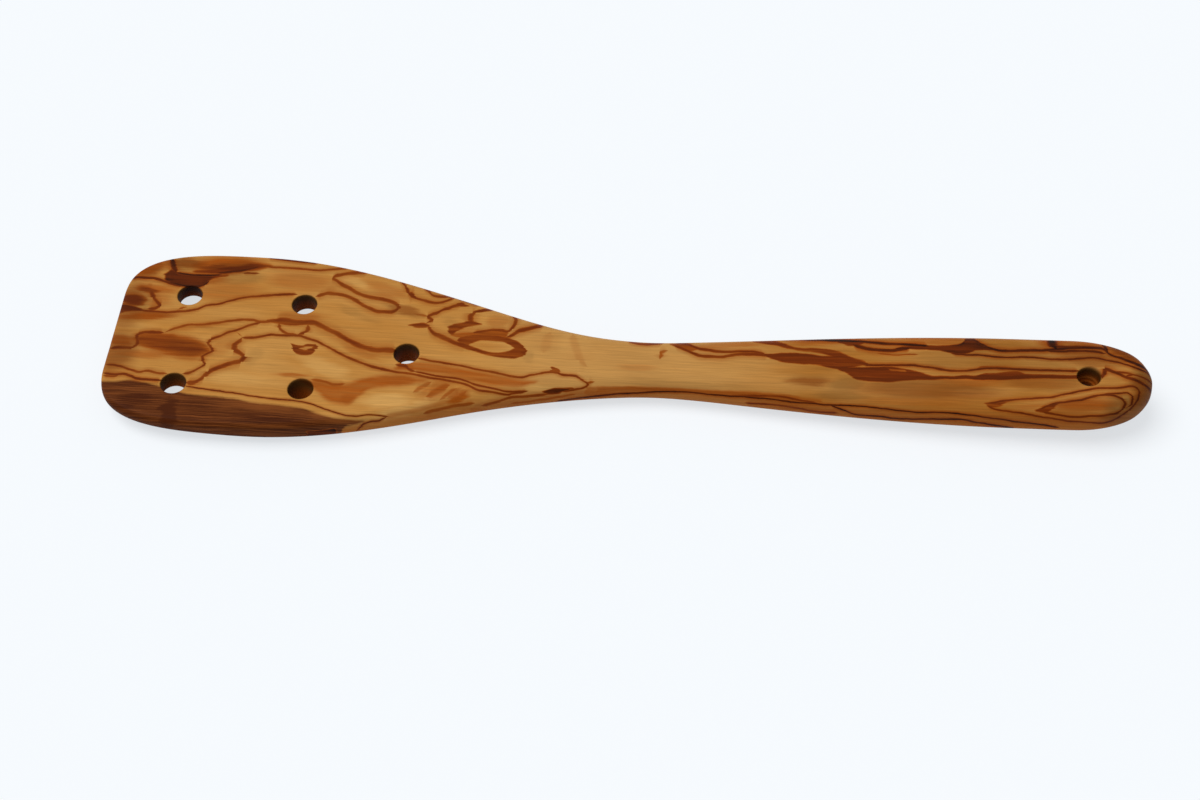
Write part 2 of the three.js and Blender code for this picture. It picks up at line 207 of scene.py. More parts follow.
# Dark growth lines: tone, reach to each side of the middle, and the points they pass through.
# A tone of 0.5 is full amber, 1 is full brown and 2 is black.
LINES = [
    # Front edge and far front corner
    (1.4, 0.55, [(0.6, 19.9), (1.6, 20.5), (3.2, 21), (6.8, 21), (9.5, 20.5), (13.6, 19), (17.2, 18.2)]),
    (1.8, 0.95, [(11.4, 29.4), (12, 27.6), (12.8, 25.6), (13.9, 23.4)]),
    (0.95, 0.35, [(33.6, 24.7), (39, 24.9)]),
    (1.85, 0.45, [(13.6, 23.7), (16, 23.2), (20, 22.9), (24.5, 23.1), (28, 23.6)]),
    (1.85, 0.45, [(12.4, 19.7), (16.5, 18.7), (21.3, 18.4), (23.4, 19.4), (24.6, 21.2)]),
    (1.5, 0.6, [(26, 24.2), (29, 24.8), (32, 25.4), (35.5, 26.4), (38.5, 27.6)]),
    (0.85, 0.5, [(39, 28.2), (43.6, 27.6), (50, 27.6), (56, 27.3), (60, 28), (65.5, 28.7)]),
    (1.3, 0.6, [(40, 31.5), (47, 30.8), (56, 30.3)]),
    (0.95, 0.9, [(5.5, 17), (7.7, 16.3), (9.1, 13.5), (10.9, 11.3), (11.9, 10.4), (10.5, 9.2), (8.2, 8.8)]),
    (1, 0.5, [(6, 8.3), (10, 7.9), (13.6, 7.9), (16.8, 8.3), (22.7, 9.5), (25.5, 11.3), (29.1, 12.2),
        (31.8, 13.5), (35.5, 14.9), (44.5, 16.7), (48.2, 17.2), (51.6, 17.3)]),
    (0.6, 0.5, [(17, 8.8), (18.2, 9.7), (20, 10.4)]),
    (0.85, 0.5, [(0.4, -12.8), (5, -13.2), (8.2, -14.2), (10.9, -15), (13.2, -14.4), (15.5, -14.9),
        (19.4, -15.2)]),
    (1.15, 0.5, [(0.4, -16), (4.1, -16.4), (6.8, -16.1), (8.6, -16.5), (10.9, -17.4), (13.6, -17.6),
        (18.2, -17.8)]),
    (0.9, 0.4, [(0.6, -17), (3.6, -17.1), (5.9, -16.4)]),
    (0.95, 0.7, [(0.3, -6.9), (3.6, -6.2), (6.8, -6.2), (8.2, -4.2), (7.5, -1.9), (7.7, -0.8), (10, 0),
        (15.2, 0)]),
    # Middle of the blade
    (0.75, 0.5, [(15.2, 0.1), (16.8, 1.3), (19.5, 2.6), (22.3, 3.5), (25.5, 3.8), (33.6, 5.8), (37.3, 6.5),
        (40, 6.6), (42.3, 6.1), (45, 6.4), (47.6, 7.3)]),
    (0.9, 1.05, [(46.4, 7), (49.1, 7.3), (52.7, 6.8), (57.3, 7), (60, 6), (63, 4.4), (65.5, 3.2),
        (70.5, 0.2), (73, -1), (76, -1.9), (78.2, -2.2), (81, -2), (84, -2.2)]),
    (0.95, 0.55, [(43, 5.9), (39.5, 4.5), (36.4, 2.6), (33.6, 1.3), (31.4, -0.3), (29.3, -1.5), (28.6, -3),
        (30, -4.6), (30.7, -6), (29.1, -7.1), (28, -8), (28.6, -9.9), (29.5, -11), (27.7, -12.8),
        (25.9, -14.2), (23.4, -15)]),
    (0.9, 0.95, [(38.2, -0.3), (37.5, -1.9), (36.6, -3.3), (36.8, -4.9), (38.6, -6), (40.2, -7.4),
        (39.5, -9.2), (37.3, -9.9), (35, -11), (32.7, -12.4), (30.9, -13.7), (30, -15.5), (28.6, -17.1),
        (27.3, -18), (25, -18.1)]),
    (0.6, 0.35, [(36.3, 1.7), (38.2, 0)]),
    (0.95, 0.5, [(37.9, -0.4), (40, -0.2), (42.3, 0.1), (44.5, 0.8), (47.3, 1.5), (54.5, 1.5), (57.3, 0.8),
        (60, 0), (62, -1), (65, -2.8), (71, -5.9), (74, -7.1), (77, -8.4), (80, -9), (86, -10.1),
        (90, -10.5), (93, -11.2), (101, -12.3), (104.5, -12.9), (106.5, -13.6), (109, -14.9), (112, -15.2),
        (117.5, -16), (119, -15.5), (122.8, -14.6)]),
    (0.8, 0.65, [(48.2, 6.2), (48.4, 4.4), (49.5, 3.3), (51.4, 2.1), (54.3, 1.8)]),
    (0.85, 0.75, [(54, 1.8), (56, 2.7), (56.9, 4.2), (56.6, 6.2)]),
    (1.35, 0.24, [(25, -19.2), (30, -19.8), (40, -20.9), (50, -22.1), (60, -22.7), (62.5, -23.2),
        (65, -24.2), (71, -26.2), (73.5, -26.8), (76, -26.6), (79, -26), (82, -26.1), (85, -26.2)]),
    (1.3, 0.3, [(84.5, -26.2), (83, -27.2), (82, -28), (79.5, -28.6), (77.5, -29.5), (76.5, -31),
        (75, -32.6)]),
    # Tongue beside the rear left hole
    (0.82, 0.8, [(57, 16.9), (59, 17.8), (61, 18.5), (63.6, 18.4), (66, 17.9), (69, 16.4), (71.5, 14.7),
        (74, 13.4), (77, 12.4), (79, 12.4), (81, 12.9), (82.2, 14), (82.2, 14.9), (80.5, 16.1), (77.7, 17),
        (75, 17.4), (72.3, 18), (69, 19.4), (66.6, 20.9), (64, 22.3), (62, 23.8), (61, 24.6), (61.5, 25.3),
        (63, 25.8), (66, 26.8), (71.5, 27.6)]),
    # Zigzags at the far shoulder
    (0.95, 0.6, [(80.4, 25.6), (82.3, 23.8), (83.4, 22.3), (84.3, 20.4), (85, 19.5), (86.8, 18.5),
        (90.5, 17.2), (93, 16.9), (95, 17.4), (96.8, 18.4), (99, 20)]),
    (1, 1.25, [(84, 20.3), (86.8, 18.9)]),
    (0.9, 0.5, [(88, 22.6), (90.5, 21), (91.5, 19.8), (93, 19.4), (95, 19.5), (98.5, 20)]),
    (0.9, 0.7, [(101, 16.7), (99, 16.3), (97, 15.2), (95.5, 14.5), (94, 13.2), (92.5, 12.5), (91.2, 11.5),
        (92.2, 10.8), (93, 10.2), (92, 9.6), (91, 8.8)]),
    (0.9, 0.95, [(91.2, 8.2), (92.5, 6.8), (93.5, 5.5), (95.5, 4.3), (98, 3.2), (100, 2.2), (102, 1.6),
        (104.4, 1.4)]),
    (0.42, 0.5, [(86.6, 12.3), (91.4, 11.5)]),
    (1.25, 0.6, [(98.5, 19.6), (102, 18.3), (106, 16.9)]),
    (0.95, 0.95, [(105.6, 14.3), (104.2, 13.4), (103.8, 12.4), (104, 11), (104.4, 9.6)]),
    (0.95, 0.62, [(105, 6.2), (108.5, 7.1), (111, 7.6), (113.5, 7.6), (115, 7.3), (116.3, 8.4), (117, 10),
        (117.2, 11.6), (116.5, 13), (115.2, 14.2)]),
    (0.95, 0.9, [(126, 10.8), (122.5, 9.4), (120, 8.3), (118, 7.4), (116.8, 6.2), (115, 5)]),
    # Lines behind the middle hole
    (0.92, 0.45, [(90, -4.4), (94, -5.1), (104, -6.5), (110, -7.8), (113, -8.2), (119, -9.4), (121.5, -9.3),
        (124, -8.4), (129, -7.1), (130.5, -7), (132.5, -7.7), (136.5, -8), (138, -9), (140, -10.5),
        (140, -11.5), (138.5, -12.3), (136, -13), (133, -14.2)]),
    (0.6, 0.75, [(139.4, -10.4), (142, -9.7)]),
    (0.95, 0.8, [(84.2, -7.3), (87.2, -7.6), (88.5, -8.7), (90.5, -9.6)]),
    (1, 0.42, [(89.8, -9.4), (94, -10.2), (98, -10.9), (102, -11.1), (105.5, -11.9), (108, -13),
        (113, -13.9), (118, -14.9), (121, -14.7), (123.4, -14.3)]),
    (0.4, 1.3, [(90.6, -17.2), (93, -15), (95.6, -12.9)]),
    (0.45, 1.7, [(94.6, -18.4), (97.6, -16), (101, -13.6)]),
    (0.46, 1.3, [(98.4, -19.6), (100.6, -17), (103, -14.6)]),
    (0.44, 1.1, [(102, -20), (104.4, -17.4), (106, -15.4)]),
    (0.26, 1.1, [(83, -26.6), (92, -23.4), (98, -21), (104, -17.8)]),
    (0.62, 0.6, [(60.8, -14.3), (65, -14.9), (68, -15.9), (71, -15.2)]),
    # Neck
    (1, 0.5, [(149.6, 6.6), (151.5, 5.7), (155.5, 5), (158, 5.3), (161, 5.8)]),
    (0.5, 0.8, [(162.3, 3.2), (160.8, 2.5), (160, 2.1), (160.5, 1.5), (160, -0.4)]),
    (1.75, 0.34, [(131, -17.6), (135, -16.6), (140, -15.5), (147, -14), (155, -13), (158, -12.4),
        (168, -12), (174, -12.3), (180, -12.7), (190, -13.1), (200, -14.2), (209, -14.7), (214, -14.7),
        (219, -15), (225, -15.7), (235, -16.6), (240, -16.4), (245, -16.7), (255, -18), (262, -19),
        (268, -19.8), (274, -20.8)]),
    (0.8, 0.6, [(110, -20.6), (114, -19.2), (118, -17.2), (124, -16.2), (129, -15.2)]),
    (0.55, 0.5, [(118, -19.4), (124, -18), (131, -16.2), (137, -14.4)]),
    (0.6, 0.7, [(94, -24.6), (99, -22.6), (104, -20.9), (108.5, -19.8)]),
    (0.15, 1.5, [(134.3, 7.5), (134.8, 5), (136, 1.5), (137.2, -2), (139.5, -4.4)]),
    (0.12, 1.8, [(127.5, 8), (127, 4), (126.5, 0)]),
    # Handle
    (1.05, 0.6, [(164, 6.1), (167.5, 5.7), (171, 4.4), (173.5, 3.9), (177, 3.5), (180, 3.5), (183, 3.9),
        (186, 3.9), (190.5, 3.1)]),
    (1, 0.62, [(163.6, 5.1), (166.5, 4), (170, 2.2), (172, 1.6), (175, 1.4), (178, 1.5), (180.5, 2.2),
        (183, 2.8), (186, 2.9), (191.5, 2.4)]),
    (1.4, 0.46, [(218, 0.3), (224, 0.2), (231, 0.6), (236, 0), (240, -0.7), (243, -1.1), (247, -1),
        (252, -0.2), (256, 0.2), (264, -0.2), (273, -0.1), (279, 0)]),
    (1.9, 0.6, [(194, 9.9), (204, 9.2), (208, 9.2), (216, 8.9), (224, 8.4), (232, 8.2), (237, 7.8)]),
    (1.6, 0.75, [(215, 7.7), (219, 6.4), (222, 5.9), (226, 5.8), (229, 6.3), (232, 7)]),
    (0.75, 0.3, [(222, 4.5), (228, 4.3), (234, 4.7)]),
    (1.7, 0.6, [(249.2, 11.2), (251, 9.6), (253, 8.2), (255.5, 7.1), (258, 6.7), (265, 7), (270, 7.4),
        (273, 7.9), (278, 8.5), (282, 8.8), (285, 8.8), (286.6, 8.2), (287.6, 7), (289, 6), (291, 5.2),
        (297.6, 2), (303, -0.6)]),
    (2, 1.6, [(272, 12.6), (272, 10), (272.5, 8.6), (273.4, 7.6)]),
    (1.5, 0.5, [(270, 7), (274, 7), (279, 7.4), (283, 7.4), (287, 6.8)]),
    (1.9, 0.6, [(286.2, 11), (286.9, 9), (287.6, 7.2)]),
    (1.45, 0.4, [(243, 5.1), (249, 4.9), (253, 4.6), (256, 4.2), (260, 4.2), (264, 4.6), (272, 4.1),
        (276, 4.2), (280, 4.8), (284, 5), (288, 4), (291, 3.4), (298, 0.4), (303, -1.8)]),
    (1.35, 0.7, [(285, -2.6), (285.7, -0.8), (286.2, 1), (287.5, 0.6), (289.5, -0.3), (291.5, -1.6),
        (294, -2.5), (298, -4.9), (303, -7.8)]),
    (1, 0.45, [(288, 0.2), (291, 0), (293, -0.4), (298.4, -2.4), (303, -4.2)]),
    (1.2, 0.4, [(291, -1.8), (292.5, -1), (294.5, -0.8)]),
    (1.2, 0.45, [(297.4, -9.4), (298.6, -10.6), (303, -13)]),
    # Far side, below the edge that shows from above
    (1.2, 0.5, [(22, 34.4), (40, 34), (60, 32.6), (80, 28.6), (100, 22.4), (120, 15.6), (140, 12.4),
        (160, 11.4), (180, 12.6), (196, 14.6)]),
    (1, 0.45, [(112, 16.4), (128, 14.8), (146, 13.6), (164, 13.8), (182, 15.4)]),
    (1.4, 0.5, [(176, 11), (195, 13), (215, 14.4), (236, 14.9), (258, 15.2), (279, 14.2)]),
    (1.1, 0.45, [(206, 16.4), (224, 17), (246, 17.6), (266, 17), (288, 14)]),
    # Nested loops at the handle's end
    (1.25, 0.4, [(252.5, -12.7), (258, -11.6), (266, -10.4), (270, -10), (273, -9), (280, -7), (283, -6.2),
        (290, -5.5), (292.5, -5.1), (294.4, -5.5), (295.3, -6.7), (295, -9), (294, -11.5), (292.5, -13.7),
        (290, -16), (287, -18), (284, -18.5), (280, -18.4), (270, -17.3), (260, -15.4), (256, -14.9),
        (253.5, -14), (252.5, -12.9)]),
    (1.3, 0.46, [(267.3, -14.4), (270, -12.8), (276, -11), (280, -10), (283, -8.8), (285.5, -8.3),
        (288, -8.5), (290.3, -9.7), (291.2, -11.5), (290.8, -13), (289.5, -14.5), (287, -15.4), (283, -16),
        (277, -16.5), (272, -16), (268, -15.2)]),
    (1.35, 0.38, [(285, -8), (289, -7.7), (291.6, -7.3), (293.2, -8.5), (293.2, -10.5), (291.6, -13)]),
    # Near side of the handle
    (1, 0.5, [(180, -12.7), (186, -12.4), (194, -12.2), (199, -13), (206, -14.5)]),
    (1, 0.45, [(185, -15), (192, -15.2), (196, -15.5), (200, -16.2), (204, -17), (212, -17.6)]),
    (1.75, 0.34, [(209, -14.7), (211.5, -15.8), (213.5, -16.5), (215, -17.3), (217, -18), (222, -18.3),
        (231, -19), (238, -18.8), (245, -18.7), (252, -19.9), (258, -20.8), (262, -21.4)]),
]

# Stained bands between an upper and a lower edge: tone, softness of the two edges, and their points
BANDS = [
    # Front of the blade
    (1.64, 1.7, [(11, 23), (12.4, 24.6), (15, 23.2), (20, 22.9), (24.5, 23.1), (29, 23.6)],
     [(11, 21.6), (12, 20), (16.8, 18.4), (21.4, 18.1), (23.2, 19), (24.5, 21), (29, 23.3)]),
    (1.3, 2.2, [(20, 24.8), (25.5, 26.2), (31.8, 27.6), (37.7, 28.6), (41.5, 28.2)],
     [(20, 24), (27.3, 23.8), (31.8, 25), (38.6, 26.6), (41.5, 27.9)]),
    (1.45, 0.9, [(0, 10.3), (4.5, 9.5), (7.4, 8.4)], [(0, 6.5), (2.7, 7.5), (7.4, 8)]),
    (1, 4.2, [(9, -1.2), (17, -0.6), (20, -1.4), (24, -2.2), (27, -3.6), (29, -5.2)],
     [(9, -4.6), (14, -6.4), (20, -7.6), (25, -8), (29, -6.6)]),
    (1.05, 0.7, [(53.2, -1.6), (55.9, -2.2), (58.2, -1.3), (60, -1.3), (60.8, -2)],
     [(53.2, -2), (54.1, -3.9), (55, -5), (57.3, -5.4), (59.6, -4.8), (60.8, -2.6)]),
    (0.95, 0.9, [(44.5, 6.9), (47.5, 7.8), (50, 7.9), (53, 7.4), (57, 7.6), (60, 6.6)],
     [(44.5, 6.3), (47.5, 6), (50, 5.6), (53, 5.4), (57, 6), (60, 5.9)]),
    (1.9, 0.5, [(62, -33.2), (66, -32.5), (70, -31.6)], [(62, -36), (66, -36), (70, -33)]),
    # Ring before the neck
    (1, 0.7, [(101.6, 4.2), (104, 5.2), (107, 5.6), (110, 5.7), (115, 5.1), (118, 3.9), (120, 2.6),
        (121.4, 0.8)],
     [(101.6, 0.8), (104, 0), (107, -0.8), (110, -1.8), (114, -2.5), (117.5, -2.7), (120, -1.8),
        (121.4, -0.4)]),
    (0.6, 0.9, [(98.8, 5.4), (103, 5.9), (106, 6.4), (108.5, 7.1), (111, 7.6), (115.2, 7.2)],
     [(98.8, 4.6), (101, 4), (103, 4), (106, 4.6), (110, 5), (115.2, 4.8)]),
    (1, 0.7, [(98, 8.2), (99.5, 9.1), (102, 9.8), (104, 10.7), (105.6, 10.4), (107.3, 9.8)],
     [(98, 6.4), (98.8, 5), (99.8, 5.4), (101, 7), (102.5, 8), (105, 9), (107.3, 9.6)]),
    (0.95, 0.7, [(86.4, 7.9), (88.5, 8.5), (90.5, 8.9), (92, 8.4)],
     [(86.4, 7.7), (88.5, 7.1), (90.5, 7.2), (92, 7.6)]),
    (0.9, 0.6, [(99.4, 17), (100.6, 17.6), (102.8, 16.6)], [(99.4, 16.6), (100.6, 16.1), (102.8, 16.3)]),
    (1.2, 0.6, [(104.6, 14.3), (106.5, 15.3), (109.8, 15.7)],
     [(104.6, 13.9), (106.5, 14.2), (109.8, 14.9)]),
    # Neck
    (0.85, 0.7, [(128.6, -6.9), (130, -5), (131.8, -6.6)], [(128.6, -7.5), (131.8, -7.5)]),
    (1.55, 0.9, [(127.6, -14.4), (130.5, -13), (133, -12.7), (135.6, -12.4)],
     [(127.6, -14.8), (129, -15.1), (131, -14.9), (133.5, -13.9), (135.6, -12.7)]),
    (0.26, 1.4, [(108, -20.4), (115, -17.4), (120, -15.8), (126, -14.8), (131, -14.9), (136, -13.2),
        (141, -12), (147, -12)],
     [(108, -27), (120, -25), (131, -22), (141, -15.4), (147, -13.6)]),
    (0.45, 1.1, [(143, -11.9), (150, -11.2), (160, -10.8), (175, -10.9), (190, -11.3), (206, -12.8)],
     [(143, -13.6), (150, -12.9), (160, -12.3), (175, -12.6), (190, -13), (206, -14.6)]),
    # Handle
    (0.8, 0.9, [(163, 5.8), (166, 6.1), (168.5, 5.7), (171, 4.6)],
     [(163, 5.3), (166, 4), (168.5, 3.2), (171, 4)]),
    (1.22, 0.7, [(186, 4), (190, 3.1), (194, 3.6), (198, 3.8), (203, 3.6), (207.5, 3.2), (210, 3.3),
        (212, 3.6), (215, 2.6), (218, 1.6), (219.8, 0.8)],
     [(186, 3.6), (190, 2.4), (193, 1.3), (196, 0.3), (199, 0), (204, -0.2), (208, -0.9), (212, -1.7),
        (215, -0.9), (217.5, 0), (219.8, 0.5)]),
    (1.1, 0.7, [(187, 8), (190, 8.2), (193.5, 8.1), (196, 7.2), (198, 6.3), (200, 5.9), (205, 5.8),
        (210, 5.2), (212.5, 4.2), (215, 3), (218.5, 1.7)],
     [(187, 7.7), (191, 6.9), (194, 6.4), (196.5, 5.6), (199, 5), (203, 4.6), (207, 4), (210, 3), (214, 2),
        (218.5, 1.4)]),
    (1.36, 0.7, [(210.5, -1), (213.2, -1.1), (215.5, -0.8), (222, -0.5), (226, -0.3), (230, -0.9),
        (234, -2), (236.5, -3), (240, -3.3), (244, -3.2), (247, -2.8), (249.5, -3), (252, -2), (255, -1.7),
        (258, -1), (261, -0.8), (264, -1.8), (279, -1.6)],
     [(210.5, -1.5), (213.2, -2.9), (216, -5), (219, -5.6), (222.5, -5.9), (226, -5.8), (229, -5.2),
        (234, -4.8), (242, -4.3), (247, -4), (250, -4.4), (256, -4.2), (262, -3.6), (268, -3.2),
        (279, -2.9)]),
    (0.95, 0.6, [(249, -0.6), (252, 0.8), (256, 1), (260, 0.6), (265, 0)],
     [(249, -0.9), (255, -0.5), (265, -0.5)]),
    (1.7, 0.7, [(228, 7), (231, 7.7), (240, 8.1), (244, 8.4), (246.5, 9.2), (247.8, 11.4), (249.6, 11.6),
        (251, 9.6), (253, 8.2), (257, 6.9)],
     [(228, 6.3), (232, 6.6), (240, 6.3), (242.5, 5.6), (245, 5.2), (248, 5.7), (250.5, 6.7), (257, 6.7)]),
    (1.8, 0.6, [(272, 9.4), (276, 9.2), (280, 9.4), (285, 9.4)],
     [(272, 7.4), (276, 8), (280, 8.5), (285, 8.8)]),
    (1.6, 0.6, [(210, 8.9), (214, 8.9), (218.8, 8.7)],
     [(210, 8.7), (214, 7.3), (216.5, 7.5), (218.8, 8.5)]),
    (1, 0.8, [(252.2, -12.4), (255, -12), (259, -11.6)], [(252.2, -13), (253.8, -14.2), (259, -11.9)]),
    (1.15, 0.8, [(266.6, -14.4), (268.5, -13.2), (272.5, -12.2)],
     [(266.6, -15.1), (268.8, -15.5), (272.5, -12.5)]),
]

# Light wood left inside the bands
ISLANDS = [
    (1, 0.7, [(104.6, 1.9), (106, 2.7), (108, 3.4), (113.5, 3.5), (116, 2.8), (117.9, 1.3)],
     [(104.6, 1.5), (107, 0.5), (109.5, -0.4), (112.5, -0.8), (115.5, -0.4), (117.9, 1)]),
    (0.8, 0.6, [(56, -3), (57.4, -2.3), (59.2, -2.1)], [(56, -3.4), (57.4, -3.8), (59.2, -2.6)]),
    (0.6, 0.5, [(226, -1.1), (230, -1.2)], [(226, -1.7), (230, -2)]),
    (0.08, 1.2, [(14.6, 22), (18, 22.2), (22, 21.8)], [(14.6, 20.4), (18, 19.9), (22, 20.2)]),
]

# Amber tone between an upper and a lower edge, in the same form; the last three tint the near side of the
# shoulder, neck and handle all the way down
AMBER_BANDS = [
    (0.88, 1.6, [(85, -8.2), (90, -6), (96, -6.4), (104, -7.6), (113, -9.2), (119, -10.2), (125, -10.6)],
     [(85, -9), (90, -9), (96, -9.8), (104, -10.8), (113, -12.8), (119, -13.2), (125, -11.4)]),
    (0.95, 2.4, [(58, -14.6), (63, -14.9), (68, -15.8), (72, -14.9), (76, -13), (80, -11.7), (86, -11.2),
        (93, -12.2)],
     [(58, -15.4), (63, -18.4), (67, -21.6), (72, -22.6), (75, -20), (78, -17), (82, -15.6), (87, -14.9),
        (93, -13)]),
    (0.3, 1.6, [(76, -30.4), (80, -28.6), (86, -25.6), (95, -22.2), (104, -19.2), (110, -18)],
     [(76, -47), (110, -47)]),
    (0.75, 1.1, [(140, -11.8), (150, -11), (160, -10.6), (175, -10.7), (190, -11), (200, -11.9)],
     [(140, -47), (200, -47)]),
    (0.25, 2.6, [(200, -12.4), (215, -12), (235, -13), (260, -15.4), (282, -17.4)],
     [(200, -22), (230, -26), (260, -28), (282, -28)]),
]

# Dark heartwood along the near edge of the blade
HEARTWOOD_EDGE = (
    1.5, 1.7,
    [(-4, -19.4), (4.5, -19.2), (7.7, -18.5), (10.5, -18.3), (13.6, -19), (17.7, -20.1), (24.1, -21.9),
     (29.1, -22.6), (38.6, -23), (44.5, -23.9), (54.5, -24.7), (60, -25.3), (66, -27.2), (73, -28.4),
     (77.5, -28.4)],
    [(-4, -47), (66, -47), (70.5, -36), (72.5, -30.8), (75, -29.5), (77.5, -28.5)])

# Soft clouds: strength, middle, reach along and across, and turn in degrees
AMBER_CLOUDS = [
    # Front of the blade
    (1, (5, 25.5), (9, 5), 42), (1, (27, 28), (15, 3.4), 6), (0.8, (17, 27.5), (5, 3), 0),
    (0.75, (8, 16.6), (9, 2.6), -4), (0.7, (3, 13.4), (5, 4.2), 0), (0.45, (11, 12.6), (5, 3.6), 0),
    (1, (8, 6), (12, 2), 4), (0.95, (3, -3.6), (5.5, 3.2), 0), (0.7, (9, -8.6), (12, 2), 0),
    (0.9, (22, -5.4), (10, 4.6), -10), (0.4, (25, 3.2), (10, 1.6), 14), (0.45, (30, 17), (14, 4.4), 6),
    (0.5, (52, 22.4), (13, 4.6), -4), (0.5, (54, 9), (9, 1.6), 0), (0.3, (33, -3), (6, 4), 60),
    # Middle and back of the blade
    (0.8, (55, -13.2), (6, 1.1), 0), (0.5, (97, -15.6), (6, 3), 46), (1, (103.6, -18.4), (4.8, 2.4), 48),
    (0.4, (78, 21), (10, 3), -20), (0.45, (103, 6.6), (6, 2.4), 10), (0.4, (112, 11), (4, 2.6), 0),
    (0.35, (74, -3.6), (8, 1.6), -24), (0.3, (61, 20.4), (3, 2.6), 0),
    # Neck and handle
    (0.3, (154, -4), (7, 1.8), 0), (0.6, (180, 6), (12, 1.8), 8), (0.5, (203, 7.6), (9, 1.2), 0),
    (0.1, (204, -6), (9, 2.6), 0), (0.5, (236, -8.4), (26, 4.2), 0), (0.4, (233, -12.5), (22, 2), 0),
    (0.6, (238, 10.4), (14, 1.6), 0), (0.85, (280, -12.6), (12, 3.6), 6), (0.7, (280, 10.8), (8, 2), 0),
    (1, (292, 8), (8, 4), -35), (0.6, (296, -10), (4, 10), 0), (0.5, (265, -13.4), (7, 1.6), 4),
    (0.45, (268, -4.8), (14, 3.2), 0), (0.5, (281, 6), (12, 5), -10), (0.6, (248, -4.8), (12, 2.6), 0),
    (0.55, (1, -8), (8, 11), 0), (0.4, (1, 4), (7, 4), 0),
]
PALE_CLOUDS = [
    (0.15, (46, -9), (12, 6), -30), (0.85, (83, -20.8), (8.2, 3.2), 6), (0.6, (64, -9.6), (11, 3.2), -24),
    (0.5, (40, -16), (16, 3), -4), (0.3, (5, 2.2), (9, 1.5), 0), (0.6, (124, -12.6), (6, 1.6), -6),
    (0.5, (66, 24), (7, 2.2), -24), (0.15, (172, -5), (24, 4), 0), (0.25, (254, -8.6), (12, 1.8), 4),
    (0.4, (96, -18.6), (5, 1), 46), (0.8, (89, -23.6), (10, 2.6), 22), (0.4, (135, 4), (6, 5), 0),
    (0.1, (230, 3), (16, 2), 0),
]
BROWN_CLOUDS = [
    (0.6, (17, -3.4), (8, 3), -8), (1, (2.8, 12.4), (5, 2.6), -8), (0.85, (7, 16.2), (4.2, 1.6), -12),
    (0.16, (3, -8), (8, 6), 0), (0.4, (24, 21.4), (7, 2.2), 0), (0.8, (25, 26.3), (7, 2), 6),
    (0.35, (102, -16.8), (4, 1), 46), (0.3, (73, -21), (3, 2.2), -35), (0.3, (86, -12.4), (6, 1.3), -3),
    (0.3, (203, -6.4), (7, 1.6), 0), (0.3, (84, 13.4), (7, 2), -20),
]
# Clouds that darken the wood: most are smoky wood, the one along the neck's near facet is painted shade,
# and the two over the handle's rounded end are partly painted shade
SMOKY_AND_SHADE_CLOUDS = [
    (0.5, (6.5, 24.6), (5, 3), 42), (0.6, (30, 27), (10, 2.6), 8), (0.75, (16, 27.2), (7, 3.2), 0),
    (0.6, (1.5, 10), (9, 12), 0), (0.6, (1.5, -7), (9, 11), 0), (0.5, (34, 23), (8, 3.4), 4),
    (0.3, (8, 6), (10, 1.8), 4), (0.3, (22, -5), (8, 3.6), -10), (0.4, (84, 13.2), (8, 2.2), -20),
    (0.25, (98, 9.6), (3, 2.6), 0), (0.3, (70, 11.4), (9, 1.8), -24), (0.25, (43, -7), (3, 5), -30),
    # The first cloud on the next line is painted shade along the neck's near facet
    (0.2, (167, -9.3), (22, 1.7), 0), (0.45, (203, -6.2), (8, 2.4), 0), (0.5, (212, -11.2), (9, 2.4), 0),
    (0.6, (236, -8.2), (24, 4), 0), (0.3, (280, -12.6), (12, 3.6), 6), (1, (292, 8.2), (8, 3.6), -35),
    # The first two clouds on the next line darken the handle's rounded end, partly as painted shade
    (0.95, (297, -6.5), (5, 13), 0), (0.85, (292, -14), (9, 8), 0), (0.45, (268, -4.4), (16, 3.6), 0),
    (0.6, (281, 6), (12, 5), -8), (0.35, (262, 4), (24, 8), 0), (0.3, (244, 2.4), (18, 4), 0),
    (0.6, (214, -6.8), (7, 3), 0), (0.3, (240, 5.6), (10, 0.9), 0), (0.3, (122, -1.6), (2.4, 2.6), 0),
]
LIGHT_HEARTWOOD = [
    (0.5, (46, -25.2), (18, 2.6), -4), (0.5, (13, -21.4), (11, 1.5), 2), (0.15, (6, -28), (6, 1.8), -20),
    (0.7, (71, -28), (9, 2), -8),
]
DARK_HEARTWOOD = [
    (0.7, (22.4, -29.4), (2.8, 6.5), 6), (0.25, (52, -29.4), (13, 2.4), -5), (0.5, (12, -25), (5, 2.4), 0),
    (0.5, (7, -28.5), (9, 2.6), -15),
]


def metres(place):
    return Vector(place) * MM


def linear(colour):
    """Scene colour of a red, green and blue from 0 to 255."""
    shares = [level / 255 for level in colour]
    levels = [share / 12.92 if share <= 0.04045 else ((share + 0.055) / 1.055) ** 2.4 for share in shares]
    return (*levels, 1.0)


def placed(name, data):
    """New object in the scene."""
    thing = bpy.data.objects.new(name, data)
    bpy.context.collection.objects.link(thing)
    return thing


def mesh_object(name, shape):
    """New object in the scene from a finished shape."""
    mesh = bpy.data.meshes.new(name)
    shape.to_mesh(mesh)
    shape.free()
    return placed(name, mesh)


# Carved board

def join_pairs(board, faces):
    """Joins triangles in pairs where they lie flat enough."""
    bmesh.ops.join_triangles(board, faces=faces, angle_face_threshold=FLAT_ENOUGH,
                             angle_shape_threshold=math.pi)


def hole_middles():
    """Middle of each drilled hole, seen from above, by the hole's name."""
    middles = {}
    for opening in frame["record"]["physics"]["openings"]:
        low, high = (Vector(corner) / MM for corner in opening["box_m"])
        middles[opening["name"]] = ((low + high) / 2).xy
    return middles


